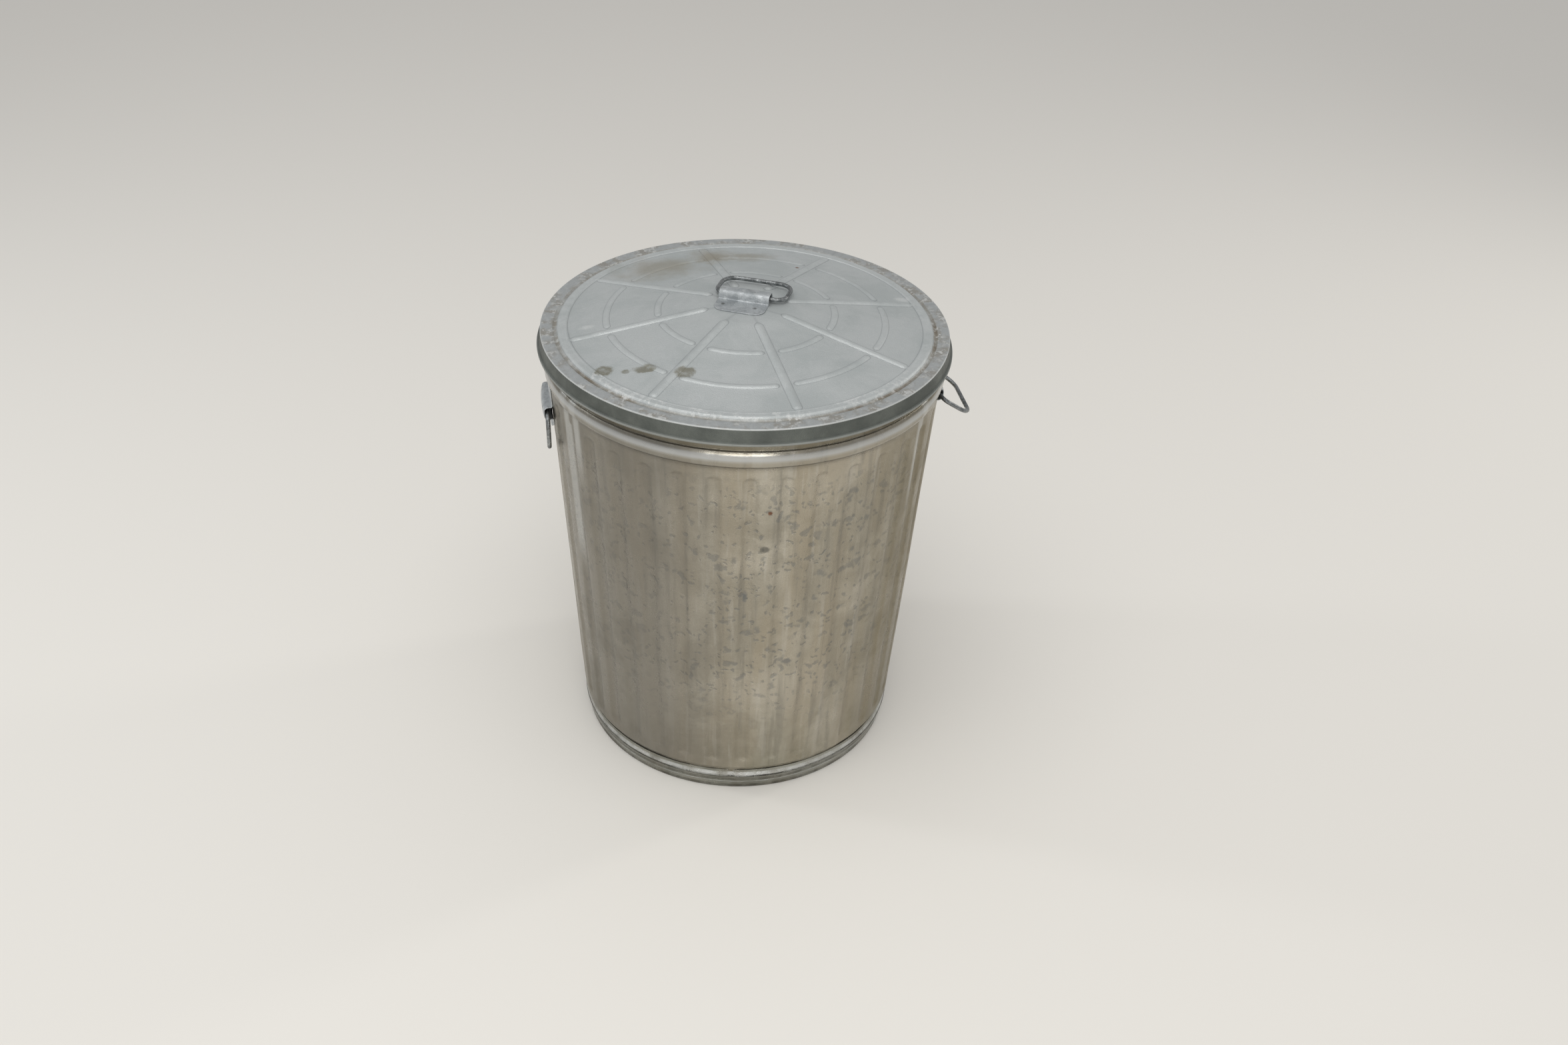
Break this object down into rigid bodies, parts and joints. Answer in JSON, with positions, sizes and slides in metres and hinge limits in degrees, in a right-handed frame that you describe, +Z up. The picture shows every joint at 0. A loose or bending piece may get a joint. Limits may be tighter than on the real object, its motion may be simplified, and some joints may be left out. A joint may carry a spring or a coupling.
{
  "type": "trash can",
  "caption": "Tapered, fluted sheet-metal trash can with a drop-on domed lid, two side bail handles and a bail handle on the lid.",
  "frame": {"origin": "centre of the base on the floor, on the can's axis", "axes": "+Z up the can's axis; the side handles lie on +X and -X; -Y is the side that the picture shows"},
  "size_m": [0.5141, 0.4816, 0.5828],
  "materials": {
    "galvanized_sheet": "hot-dip galvanized sheet, fairly glossy, mottled and stained with age",
    "galvanized_hoop": "hot-dip galvanized strip, glossy, scuffed",
    "galvanized_lid": "hot-dip galvanized sheet, pale and satin, with stains and scuffs",
    "galvanized_plate": "galvanized pressing, patchy zinc",
    "galvanized_wire": "galvanized wire, dull"
  },
  "bodies": {
    "can": {"body_shell": "galvanized_sheet", "bottom_pan": "galvanized_sheet", "base_hoop": "galvanized_hoop", "right_handle_plate": "galvanized_plate", "left_handle_plate": "galvanized_plate"},
    "lid": {"lid_shell": "galvanized_lid", "lid_handle_plate": "galvanized_plate"},
    "right_ring": {"right_bail": "galvanized_wire"},
    "left_ring": {"left_bail": "galvanized_wire"},
    "lid_ring": {"lid_bail": "galvanized_wire"}
  },
  "joints": [
    {"name": "lid_lift", "type": "slide", "parent": "can", "child": "lid", "axis": [0, 0, 1], "range_m": [0, 0.12]},
    {"name": "right_bail_swing", "type": "hinge", "parent": "can", "child": "right_ring", "pos_m": [0.23286, 0, 0.4575], "axis": [0, -1, 0], "range_deg": [-62.5, 107.5]},
    {"name": "left_bail_swing", "type": "hinge", "parent": "can", "child": "left_ring", "pos_m": [-0.23286, 0, 0.4575], "axis": [0, 1, 0], "range_deg": [-5, 165]},
    {"name": "lid_bail_swing", "type": "hinge", "parent": "lid", "child": "lid_ring", "pos_m": [0.00529, 0.01188, 0.5764], "axis": [0.9135, -0.4067, 0], "range_deg": [0, 184]}
  ]
}
